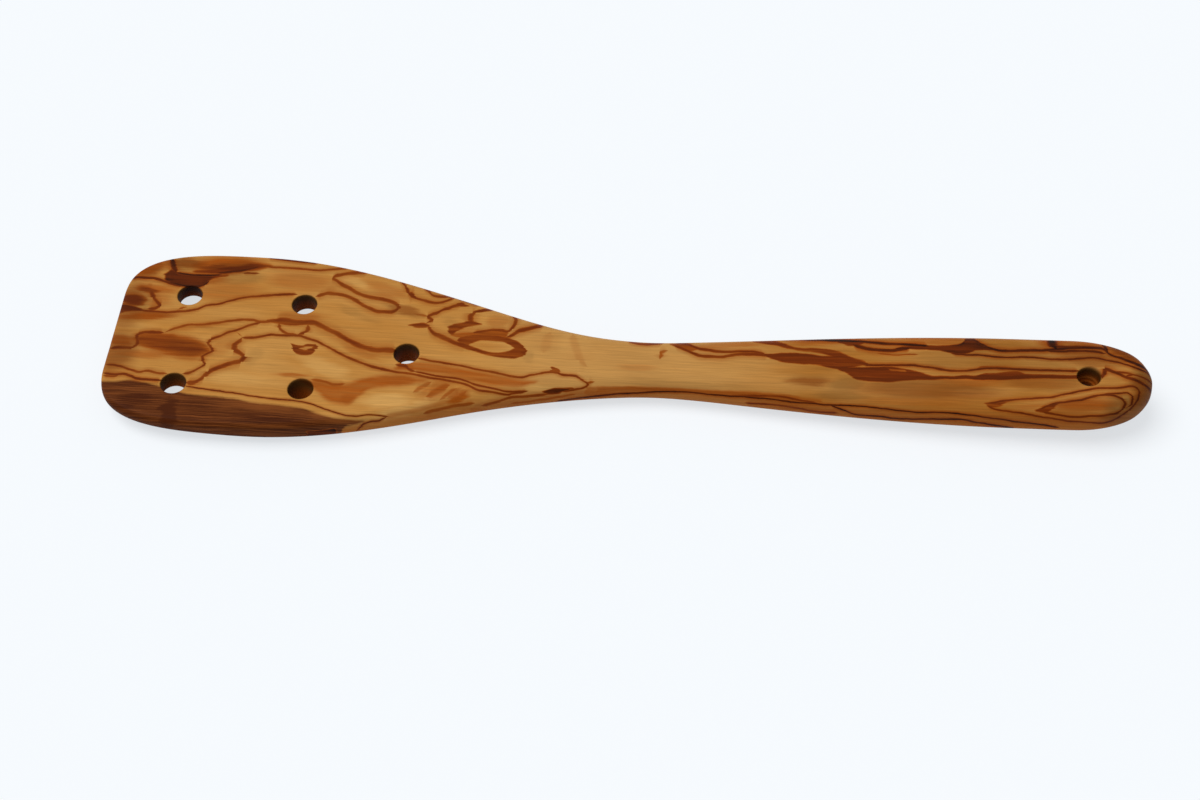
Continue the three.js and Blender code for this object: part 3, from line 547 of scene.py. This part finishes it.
def merged_board():
    """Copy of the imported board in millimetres, with corners merged and triangles joined in pairs."""
    board = bmesh.new()
    board.from_mesh(frame["nodes"][BOARD_NODE].data)
    bmesh.ops.scale(board, vec=(1 / MM,) * 3, verts=board.verts)
    bmesh.ops.remove_doubles(board, verts=board.verts, dist=MERGE_DISTANCE)
    join_pairs(board, board.faces)
    return board


def bore_radius(board, middle):
    """Radius of the bore, which is the distance of its nearest corner."""
    return min((corner.co.xy - middle).length for corner in board.verts)


def clear_round_hole(board, middle, radius):
    """Takes away a hole and the cut faces round it, down to whole faces of the carved board."""
    reach = radius + CLEARED_ROUND_HOLE
    near = [corner for corner in board.verts if (corner.co.xy - middle).length < reach]
    bmesh.ops.delete(board, geom=near, context="VERTS")
    ears = True
    while ears:
        ears = [face for face in board.faces
                if 2 * sum(edge.is_boundary for edge in face.edges) > len(face.edges)]
        bmesh.ops.delete(board, geom=ears, context="FACES")


def edges_round_hole(board, middle, upper):
    """Open edges that lie round a cleared hole on one of the two broad faces."""
    found = []
    for edge in board.edges:
        if not edge.is_boundary:
            continue
        place = (edge.verts[0].co + edge.verts[1].co) / 2
        faces_up = edge.link_faces[0].normal.z > 0
        if (place.xy - middle).length < HOLE_SEARCH and faces_up == upper:
            found.append(edge)
    return found


def face_slope(edges, middle):
    """Height of a broad face at a hole's middle, and how fast it rises along the board."""
    corners = {corner for edge in edges for corner in edge.verts}
    away = [corner.co.x - middle.x for corner in corners]
    heights = [corner.co.z for corner in corners]
    mean_away = sum(away) / len(away)
    mean_height = sum(heights) / len(heights)
    spread = sum((x - mean_away) ** 2 for x in away)
    slope = sum((x - mean_away) * (z - mean_height) for x, z in zip(away, heights)) / spread
    return mean_height - slope * mean_away, slope


def place_ring(corners, shade, before, middle, radius, height_at, darkness, worn=0.0):
    """Moves corners from one circle round a hole to another, drawn out on the worn side."""
    for corner in corners:
        away = (corner.co.xy - before).normalized()
        wear = max(0.0, math.cos(math.atan2(away.y, away.x) - WORN_SIDE)) ** WEAR_FALLOFF
        away *= radius + worn * wear
        corner.co.xy = middle + away
        corner.co.z = height_at(away.x)
        corner[shade] = darkness


def stepped_in(board, edges):
    """Corners of a new ring, extruded from the open edges of the last one."""
    made = bmesh.ops.extrude_edge_only(board, edges=edges)["geom"]
    return [piece for piece in made if isinstance(piece, bmesh.types.BMVert)]


def drill_hole(board, shade, top_middle, slant, radius, rim, worn):
    """Clean bore with eased rims, bridged to the open edges that the clearing left."""
    waists = []
    low_middle = top_middle + Vector((0.0, slant))
    open_edges = {upper: edges_round_hole(board, top_middle, upper) for upper in (True, False)}
    faces = {upper: face_slope(edges, top_middle) for upper, edges in open_edges.items()}

    def half_way(x):
        return sum(height + slope * x for height, slope in faces.values()) / 2

    for upper, outer in open_edges.items():
        height, slope = faces[upper]
        middle = top_middle if upper else low_middle
        edges = []
        for name, out, deep in rim:
            def height_at(x, level=height + (-deep if upper else deep)):
                return level + slope * x
            if edges:
                corners = stepped_in(board, edges)
            else:
                corners = bmesh.ops.create_circle(board, segments=HOLE_STEPS, radius=radius,
                                                  matrix=Matrix.Translation((*middle, height)))["verts"]
            wear = worn if upper and name in ("brow", "lip") else 0.0
            place_ring(corners, shade, middle, middle, radius + out, height_at, SHADE_IN_BORE[name], wear)
            if not edges:
                circle = list({edge for corner in corners for edge in corner.link_edges})
                bmesh.ops.bridge_loops(board, edges=outer + circle)
            edges = [edge for edge in board.edges if edge.is_boundary and set(edge.verts) <= set(corners)]
        corners = stepped_in(board, edges)
        waist_middle = (top_middle + low_middle) / 2
        place_ring(corners, shade, middle, waist_middle, radius + rim[-1][1], half_way, 1.0)
        waists += corners
    bmesh.ops.remove_doubles(board, verts=waists, dist=MERGE_DISTANCE)


def close_end(board, x):
    """Replaces the fan of triangles on an end face by faces between its upper and lower edges."""
    flush = {corner for corner in board.verts if abs(corner.co.x - x) < MERGE_DISTANCE}
    hubs = [corner for corner in flush
            if all(edge.other_vert(corner) in flush for edge in corner.link_edges)]
    bmesh.ops.delete(board, geom=hubs, context="VERTS")
    rim = [edge for edge in board.edges if edge.is_boundary and abs(edge.verts[0].co.x - x) < END_DEPTH]
    filled = bmesh.ops.edgeloop_fill(board, edges=rim)["faces"]
    halves = bmesh.ops.triangulate(board, faces=filled, ngon_method="BEAUTY")["faces"]
    join_pairs(board, halves)


def carved_turner():
    """The whole turner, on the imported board's own surface, with clean bores and smooth faces."""
    board = merged_board()
    shade = board.verts.layers.float.new("bore")
    holes = [(name, middle, bore_radius(board, middle)) for name, middle in hole_middles().items()]
    for _, middle, radius in holes:
        clear_round_hole(board, middle, radius)
    for name, middle, radius in holes:
        hangs = name == "hanging_hole"
        drill_hole(board, shade, middle, BORE_SLANT[name], radius, WORN_RIM if hangs else DRAIN_RIM,
                   WORN_EXTRA if hangs else 0.0)
    close_end(board, FRONT_EDGE)
    close_end(board, HANDLE_END)
    bmesh.ops.recalc_face_normals(board, faces=board.faces)
    bmesh.ops.scale(board, vec=(MM,) * 3, verts=board.verts)
    for face in board.faces:
        face.smooth = True
    turner = mesh_object("carved_turner", board)
    smoothing = turner.modifiers.new("smoothing", "SUBSURF")
    smoothing.levels = SMOOTHING_LEVELS
    smoothing.render_levels = SMOOTHING_LEVELS
    return turner


# Olive wood

class Nodes:
    """Adds nodes to a tree, with each input given as a number, a colour or another node's output."""

    def __init__(self, tree):
        self.tree = tree

    def join(self, socket, value):
        if isinstance(value, bpy.types.NodeSocket):
            self.tree.links.new(value, socket)
        else:
            socket.default_value = value

    def add(self, kind, *inputs, **settings):
        node = self.tree.nodes.new("ShaderNode" + kind)
        for name, value in settings.items():
            setattr(node, name, value)
        for socket, value in zip(node.inputs, inputs):
            self.join(socket, value)
        return node

    def math(self, operation, *inputs, clamp=False):
        return self.add("Math", *inputs, operation=operation, use_clamp=clamp).outputs[0]

    def vector(self, operation, *inputs):
        return self.add("VectorMath", *inputs, operation=operation).outputs["Vector"]

    def scaled(self, colour, factor):
        node = self.add("VectorMath", colour, operation="SCALE")
        self.join(node.inputs["Scale"], factor)
        return node.outputs["Vector"]

    def ease(self, value, start, finish, low=0.0, high=1.0):
        return self.add("MapRange", value, start, finish, low, high, interpolation_type="SMOOTHSTEP",
                        clamp=False).outputs[0]

    def straight(self, value, start, finish, low=0.0, high=1.0):
        return self.add("MapRange", value, start, finish, low, high, clamp=False).outputs[0]

    def swing(self, value, reach):
        """Spreads a noise, which goes from 0 to 1, to the same reach on both sides of zero."""
        return self.straight(value, 0.0, 1.0, -reach, reach)

    def noise(self, place, scale, start=(0.0, 0.0, 0.0), detail=2.0, roughness=0.5, distortion=0.0):
        node = self.add("TexNoise", noise_dimensions="3D")
        settings = {"Vector": self.vector("MULTIPLY_ADD", place, scale, start), "Scale": 1.0,
                    "Detail": detail, "Roughness": roughness, "Distortion": distortion}
        for name, value in settings.items():
            self.join(node.inputs[name], value)
        return node.outputs[0]

    def mix(self, share, first, second):
        node = self.add("Mix", data_type="RGBA")
        self.join(node.inputs[0], share)
        self.join(node.inputs[6], first)
        self.join(node.inputs[7], second)
        return node.outputs[2]

    def curve(self, share, heights):
        """Curve through points whose places and heights both go from 0 to 1."""
        node = self.add("FloatCurve", 1.0, share)
        points = node.mapping.curves[0].points
        while len(points) < len(heights):
            points.new(0.5, 0.5)
        for point, place in zip(points, heights):
            point.location = place
            point.handle_type = "AUTO_CLAMPED"
        node.mapping.update()
        return node.outputs[0]

    def group(self, tree, *inputs):
        node = self.add("Group", node_tree=tree)
        for socket, value in zip(node.inputs, inputs):
            self.join(socket, value)
        return node.outputs[0]


def shared_group(name, inputs):
    """Empty node group with number inputs and one number output."""
    tree = bpy.data.node_groups.new(name, "ShaderNodeTree")
    for label in inputs:
        tree.interface.new_socket(label, in_out="INPUT", socket_type="NodeSocketFloat")
    tree.interface.new_socket("Tone", in_out="OUTPUT", socket_type="NodeSocketFloat")
    entry = tree.nodes.new("NodeGroupInput")
    leave = tree.nodes.new("NodeGroupOutput")
    return tree, Nodes(tree), entry.outputs[:len(inputs)], leave.inputs[0]


def line_group():
    """Tone of a line that is darkest in the middle and tapers at its ends."""
    tree, nodes, given, tone = shared_group(
        "growth line", ["Offset", "Reach", "Run", "Start", "Finish", "Start Taper", "Finish Taper", "Tone"])
    off, reach, run, start, finish, start_taper, finish_taper, full = given
    after_start = nodes.ease(run, nodes.math("SUBTRACT", start, JOIN_OVERLAP),
                             nodes.math("ADD", start, start_taper))
    before_finish = nodes.ease(run, nodes.math("ADD", finish, JOIN_OVERLAP),
                               nodes.math("SUBTRACT", finish, finish_taper))
    shown = nodes.math("MULTIPLY_ADD", after_start, before_finish, LEAST_SHOWN)
    away = nodes.math("DIVIDE", nodes.math("DIVIDE", nodes.math("ABSOLUTE", off), reach), shown)
    core = nodes.ease(away, *LINE_CORE)
    halo = nodes.ease(away, *LINE_HALO, 0.0, LINE_HALO_TONE)
    tree.links.new(nodes.math("MULTIPLY", nodes.math("MAXIMUM", core, halo), full), tone)
    return tree


def band_group():
    """Tone of a stain between an upper and a lower edge."""
    tree, nodes, given, tone = shared_group(
        "stained band", ["Across", "Upper", "Lower", "Softness", "Run", "Start", "Finish", "Tone"])
    across, upper, lower, soft, run, start, finish, full = given
    over = nodes.math("SUBTRACT", across, upper)
    under = nodes.math("SUBTRACT", lower, across)
    outside = nodes.math("MAXIMUM", over, under)
    lighter_inside = nodes.ease(outside, *BAND_INSIDE, BAND_INSIDE_TONE, 1.0)
    faded = nodes.ease(nodes.math("DIVIDE", outside, soft), *BAND_FADE)
    dark = nodes.math("MULTIPLY", faded, lighter_inside)
    after_start = nodes.ease(run, nodes.math("SUBTRACT", start, soft), start)
    before_finish = nodes.ease(run, nodes.math("ADD", finish, soft), finish)
    shown = nodes.math("MULTIPLY", after_start, before_finish)
    tree.links.new(nodes.math("MULTIPLY", nodes.math("MULTIPLY", dark, shown), full), tone)
    return tree


def cloud_group():
    """Strength of a soft oval cloud."""
    tree, nodes, given, tone = shared_group(
        "soft cloud", ["Along", "Across", "Middle Along", "Middle Across", "Turn", "Reach Along",
                       "Reach Across", "Strength"])
    along, across, middle_along, middle_across, turn, long, wide, full = given
    x = nodes.math("SUBTRACT", along, middle_along)
    y = nodes.math("SUBTRACT", across, middle_across)
    cosine = nodes.math("COSINE", turn)
    sine = nodes.math("SINE", turn)
    forward = nodes.math("MULTIPLY_ADD", y, sine, nodes.math("MULTIPLY", x, cosine))
    sideways = nodes.math("SUBTRACT", nodes.math("MULTIPLY", y, cosine), nodes.math("MULTIPLY", x, sine))
    forward = nodes.math("POWER", nodes.math("ABSOLUTE", nodes.math("DIVIDE", forward, long)), 2.0)
    sideways = nodes.math("POWER", nodes.math("ABSOLUTE", nodes.math("DIVIDE", sideways, wide)), 2.0)
    far = nodes.math("SQRT", nodes.math("ADD", forward, sideways))
    tree.links.new(nodes.math("MULTIPLY", nodes.ease(far, *CLOUD_FADE), full), tone)
    return tree


def height_curve(nodes, run, points):
    """Place across the board of a curve through points, at a distance behind the front edge."""
    first, last = points[0][0], points[-1][0]
    share = nodes.straight(run, first, last)
    heights = [((x - first) / (last - first), (y - CURVE_LOW) / (CURVE_HIGH - CURVE_LOW))
               for x, y in points]
    return nodes.straight(nodes.curve(share, heights), 0.0, 1.0, CURVE_LOW, CURVE_HIGH)


def length_curve(nodes, run, points):
    """Distance behind the front edge of a curve through points, at a place across the board."""
    low = min(x for x, y in points)
    high = max(x for x, y in points) + JOIN_OVERLAP
    first, last = points[0][1], points[-1][1]
    share = nodes.straight(run, first, last)
    lengths = [((y - first) / (last - first), (x - low) / (high - low)) for x, y in points]
    return nodes.straight(nodes.curve(share, lengths), 0.0, 1.0, low, high)


def board_places(nodes):
    """Place in the board, and the distances behind the front edge, to the left and below the upper face."""
    where = nodes.add("TexCoord").outputs["Object"]
    place = nodes.vector("MULTIPLY_ADD", where, (1 / MM,) * 3, (-FRONT_EDGE, 0.0, 0.0))
    along, left, height = nodes.add("SeparateXYZ", place).outputs
    depth = nodes.math("SUBTRACT", height_curve(nodes, along, UPPER_FACE), height)
    return place, along, left, depth


def across_layers(nodes, place, along, left, depth):
    """Place across the growth layers, which slope through the board, fan out, wander and drift."""
    on_left = nodes.ease(left, -FAN_HALF_WIDTH, FAN_HALF_WIDTH)
    on_right = nodes.math("SUBTRACT", 1.0, on_left)
    fan_depth = nodes.ease(along, *FAN_CHANGE, BLADE_FAN_DEPTH, HANDLE_FAN_DEPTH)
    below_edge = nodes.math("MAXIMUM", nodes.math("SUBTRACT", depth, fan_depth), 0.0)
    fanned = nodes.math("MULTIPLY", on_left, below_edge)
    sloped = nodes.math("MULTIPLY_ADD", depth, -LAYER_SLOPE, left)
    sloped = nodes.math("MULTIPLY_ADD", fanned, 2 * LAYER_SLOPE, sloped)
    wander = nodes.noise(place, **WANDER_NOISE)
    drift = nodes.noise(place, **DRIFT_NOISE)
    deep_left = nodes.math("MULTIPLY", on_left, nodes.ease(depth, *LEFT_DRIFT_DEPTH, 0.0, LEFT_DRIFT_SHARE))
    deep_right = nodes.math("MULTIPLY", on_right, nodes.ease(depth, *RIGHT_DRIFT_DEPTH))
    shift = nodes.math("MULTIPLY", nodes.swing(drift, DRIFT), nodes.math("ADD", deep_left, deep_right))
    return nodes.math("ADD", nodes.math("ADD", sloped, nodes.swing(wander, WANDER)), shift)


class Grain:
    """Places in the board and noises along its growth layers, which the wood's colours are made from."""

    def __init__(self, nodes):
        place, self.along, left, self.depth = board_places(nodes)
        self.across = across_layers(nodes, place, self.along, left, self.depth)
        layer = nodes.add("CombineXYZ", self.along, self.across, 0.0).outputs[0]
        self.fibres = nodes.noise(layer, **FIBRE_NOISE)
        self.streaks = nodes.noise(layer, **STREAK_NOISE)
        self.ribbons = nodes.noise(layer, **RIBBON_NOISE)
        self.broad = nodes.noise(layer, **BROAD_NOISE)
        self.cloudy = nodes.noise(layer, **CLOUDY_NOISE)
        self.line_along = nodes.math("ADD", self.along, nodes.swing(self.fibres, LINE_FRAY))
        frayed = nodes.math("ADD", self.along, nodes.swing(self.fibres, BAND_FRAY))
        self.band_along = nodes.math("ADD", frayed, nodes.swing(self.streaks, BAND_STREAK_FRAY))
        self.cloud_place = (nodes.math("ADD", self.along, nodes.swing(self.cloudy, CLOUD_FRAY_ALONG)),
                            nodes.math("ADD", self.across, nodes.swing(self.streaks, CLOUD_FRAY_ACROSS)))
        self.line, self.band, self.cloud = line_group(), band_group(), cloud_group()


def line_runs(points):
    """Splits a line where it turns between along and across the board, or doubles back."""
    runs = []
    heading = None
    for start, finish in zip(points, points[1:]):
        along, across = finish[0] - start[0], finish[1] - start[1]
        steep = abs(across) > STEEP * abs(along)
        turned = (steep, (across if steep else along) > 0)
        if turned != heading:
            runs.append((steep, [start]))
            heading = turned
        runs[-1][1].append(finish)
    return runs


def growth_lines(nodes, grain):
    """Tone of all the growth lines together."""
    along, across = grain.line_along, grain.across
    total = 0.0
    for tone, reach, points in LINES:
        runs = line_runs(points)
        for number, (steep, stretch) in enumerate(runs):
            tapers = [END_TAPER if number == 0 else 0.0, END_TAPER if number == len(runs) - 1 else 0.0]
            axis = 1 if steep else 0
            if stretch[0][axis] > stretch[-1][axis]:
                stretch = stretch[::-1]
                tapers = tapers[::-1]
            run, beside = (across, along) if steep else (along, across)
            middle = (length_curve if steep else height_curve)(nodes, run, stretch)
            off = nodes.math("SUBTRACT", beside, middle)
            ends = (stretch[0][axis], stretch[-1][axis])
            shown = nodes.group(grain.line, off, reach * LINE_WEIGHT, run, *ends, *tapers, tone)
            total = nodes.math("MAXIMUM", total, shown)
    return total


def stained_bands(nodes, grain, bands):
    """Tone of several bands together."""
    along = grain.band_along
    total = 0.0
    for tone, soft, upper, lower in bands:
        top = height_curve(nodes, along, upper)
        bottom = height_curve(nodes, along, lower)
        ends = (upper[0][0], upper[-1][0])
        shown = nodes.group(grain.band, grain.across, top, bottom, soft, along, *ends, tone)
        total = nodes.math("MAXIMUM", total, shown)
    return total


def soft_clouds(nodes, grain, clouds):
    """Strength of several soft clouds together."""
    total = 0.0
    for strength, middle, reach, turn in clouds:
        shown = nodes.group(grain.cloud, *grain.cloud_place, *middle, math.radians(turn), *reach, strength)
        total = nodes.math("MAXIMUM", total, shown)
    return total


def plain_wood(nodes, grain):
    """Honey wood of the blade, neck and handle, paler in places and amber in others."""
    honey = nodes.mix(nodes.ease(grain.along, *BLADE_TO_NECK), linear(HONEY), linear(NECK_HONEY))
    honey = nodes.mix(nodes.ease(grain.along, *NECK_TO_HANDLE), honey, linear(HANDLE_HONEY))
    pale = nodes.math("MULTIPLY_ADD", nodes.ease(grain.broad, *PALE_RANGE), PALE_SHARE,
                      soft_clouds(nodes, grain, PALE_CLOUDS), clamp=True)
    wood = nodes.mix(pale, honey, linear(PALE_HONEY))
    amber = nodes.math("MAXIMUM", soft_clouds(nodes, grain, AMBER_CLOUDS),
                       stained_bands(nodes, grain, AMBER_BANDS))
    amber = nodes.math("MAXIMUM", amber, nodes.ease(grain.depth, *AMBER_DEPTH, 0.0, DEEP_AMBER))
    amber = nodes.math("ADD", amber, nodes.straight(grain.fibres, *NOISE_MIDDLE, -AMBER_FIBRE, AMBER_FIBRE))
    streaked = nodes.straight(grain.streaks, *NOISE_MIDDLE, *AMBER_STREAK)
    amber = nodes.math("MULTIPLY", amber, streaked, clamp=True)
    return nodes.mix(amber, wood, linear(AMBER))


def heartwood(nodes, grain, wood):
    """Dark streaked heartwood laid over the near edge of the blade."""
    heart = nodes.math("MINIMUM", stained_bands(nodes, grain, [HEARTWOOD_EDGE]), 1.0)
    streak = nodes.math("ADD", nodes.ease(grain.fibres, *HEART_RANGE, 0.0, HEART_STREAK),
                        soft_clouds(nodes, grain, LIGHT_HEARTWOOD))
    streak = nodes.math("SUBTRACT", streak, soft_clouds(nodes, grain, DARK_HEARTWOOD), clamp=True)
    return nodes.mix(heart, wood, nodes.mix(streak, linear(HEARTWOOD), linear(HEARTWOOD_STREAK)))


def dark_figure(nodes, grain, wood):
    """Growth lines, stains and brown clouds laid over the wood, from amber through brown to black."""
    islands = nodes.math("SUBTRACT", 1.0, stained_bands(nodes, grain, ISLANDS))
    stains = nodes.math("MULTIPLY", stained_bands(nodes, grain, BANDS),
                        nodes.straight(grain.streaks, *NOISE_MIDDLE, *STAIN_STREAK))
    stains = nodes.math("MULTIPLY", stains, islands)
    lines = nodes.math("MULTIPLY", growth_lines(nodes, grain),
                       nodes.straight(grain.cloudy, *NOISE_WIDE, *LINE_CLOUD))
    tone = nodes.math("MAXIMUM", nodes.math("MAXIMUM", stains, lines),
                      soft_clouds(nodes, grain, BROWN_CLOUDS))
    wood = nodes.mix(nodes.math("MULTIPLY", tone, 2.0, clamp=True), wood, linear(VEIN_AMBER))
    wood = nodes.mix(nodes.math("MULTIPLY_ADD", tone, 2.0, -1.0, clamp=True), wood, linear(VEIN_BROWN))
    return nodes.mix(nodes.math("SUBTRACT", tone, 1.0, clamp=True), wood, linear(VEIN_BLACK))


def fine_contrast(nodes, grain, wood):
    """Light and dark fibres and ribbons over the wood, and smoky clouds, a few of which are painted shade.
    """
    contrast = nodes.math("MULTIPLY", nodes.straight(grain.fibres, *NOISE_WIDE, *FIBRE_CONTRAST),
                          nodes.straight(grain.ribbons, *NOISE_WIDE, *RIBBON_CONTRAST))
    smoke_and_shade = soft_clouds(nodes, grain, SMOKY_AND_SHADE_CLOUDS)
    contrast = nodes.math("MULTIPLY", contrast, nodes.math("MULTIPLY_ADD", smoke_and_shade, -SMOKE_AND_SHADE, 1.0))
    return nodes.scaled(wood, contrast)


def end_grain_and_bore_shade(nodes, grain, wood):
    """Dark end grain inside the bores, which drank more oil, with painted shade that turns it nearly black
    near the upper face.
    """
    bore = nodes.add("Attribute", attribute_name="bore").outputs["Fac"]
    dark = nodes.mix(nodes.ease(grain.depth, *BORE_BROWN_DEPTH), linear(BORE_BLACK), linear(BORE_BROWN))
    return nodes.mix(nodes.math("MULTIPLY", bore, BORE_SHARE), wood, dark)


def olive_wood():
    """Oiled olive wood whose figure runs through the board."""
    material = bpy.data.materials.new("oiled_olive_wood")
    material.use_nodes = True
    nodes = Nodes(material.node_tree)
    grain = Grain(nodes)
    wood = plain_wood(nodes, grain)
    for lay_over in (heartwood, dark_figure, fine_contrast, end_grain_and_bore_shade):
        wood = lay_over(nodes, grain, wood)
    bump = nodes.add("Bump")
    nodes.join(bump.inputs["Strength"], FIBRE_BUMP)
    nodes.join(bump.inputs["Distance"], FIBRE_HEIGHT * MM)
    nodes.join(bump.inputs["Height"], grain.fibres)
    shader = material.node_tree.nodes["Principled BSDF"]
    nodes.join(shader.inputs["Base Color"], wood)
    nodes.join(shader.inputs["Roughness"], nodes.straight(grain.fibres, *NOISE_WIDE, *OILED_ROUGHNESS))
    shader.inputs["Specular IOR Level"].default_value = OILED_GLOSS
    nodes.join(shader.inputs["Normal"], bump.outputs[0])
    return material


# Table, light and camera

def background_rays(nodes):
    """1 for rays that show the background, straight or mirrored, and 0 for those that light the turner."""
    ray = nodes.add("LightPath").outputs
    mirrored = nodes.math("MAXIMUM", ray["Is Glossy Ray"], ray["Is Transmission Ray"])
    return nodes.math("MAXIMUM", ray["Is Camera Ray"], mirrored)


def pale_table():
    """Wide pale table top under the turner, which stays light inside the shadows."""
    top = bmesh.new()
    bmesh.ops.create_grid(top, x_segments=1, y_segments=1, size=TABLE_SIZE * MM / 2)
    table = mesh_object("table_top", top)
    table.location.z = cad_box[0].z - TABLE_GAP * MM
    material = bpy.data.materials.new("pale_table")
    material.use_nodes = True
    nodes = Nodes(material.node_tree)
    shader = material.node_tree.nodes["Principled BSDF"]
    shader.inputs["Base Color"].default_value = (*TABLE_COLOUR, 1.0)
    shader.inputs["Roughness"].default_value = TABLE_ROUGHNESS
    shader.inputs["Specular IOR Level"].default_value = 0.0
    white = nodes.add("Emission", (*TABLE_WHITE, 1.0), 1.0)
    glow = nodes.math("MULTIPLY", background_rays(nodes), TABLE_GLOW)
    both = nodes.add("MixShader", glow, shader.outputs[0], white.outputs[0])
    nodes.join(material.node_tree.nodes["Material Output"].inputs["Surface"], both.outputs[0])
    table.data.materials.append(material)
    return table


def soft_light():
    """Even sky and one broad lamp."""
    world = bpy.data.worlds.new("even_sky")
    bpy.context.scene.world = world
    world.use_nodes = True
    sky = world.node_tree.nodes["Background"]
    sky.inputs["Color"].default_value = (*SKY_COLOUR, 1.0)
    sky.inputs["Strength"].default_value = SKY_STRENGTH
    nodes = Nodes(world.node_tree)
    backdrop = nodes.add("Background", (*TABLE_WHITE, 1.0), 1.0)
    both = nodes.add("MixShader", background_rays(nodes), sky.outputs[0], backdrop.outputs[0])
    nodes.join(world.node_tree.nodes["World Output"].inputs["Surface"], both.outputs[0])
    lamp = bpy.data.lights.new("broad_lamp", "SUN")
    lamp.angle = math.radians(LAMP_SPREAD)
    lamp.energy = LAMP_STRENGTH
    holder = placed("broad_lamp", lamp)
    holder.location = metres(LAMP_FROM)
    holder.rotation_euler = (-LAMP_FROM).to_track_quat("-Z", "Y").to_euler()


def table_camera():
    """Camera above the near side of the turner."""
    lens = bpy.data.cameras.new("camera")
    lens.lens = LENS
    lens.sensor_width = SENSOR_WIDTH
    camera = placed("camera", lens)
    up = math.radians(CAMERA_ELEVATION)
    turn = math.radians(CAMERA_AZIMUTH)
    back = Vector((math.sin(turn) * math.cos(up), -math.cos(turn) * math.cos(up), math.sin(up)))
    camera.location = metres(CAMERA_AIM + CAMERA_DISTANCE * back)
    camera.rotation_euler = (math.pi / 2 - up, 0.0, turn)
    bpy.context.scene.camera = camera


table_camera()
soft_light()
bpy.context.scene.view_settings.view_transform = "Standard"
pale_table()

turner = carved_turner()
turner.data.materials.append(olive_wood())
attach(turner, "root")
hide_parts(BOARD_NODE)
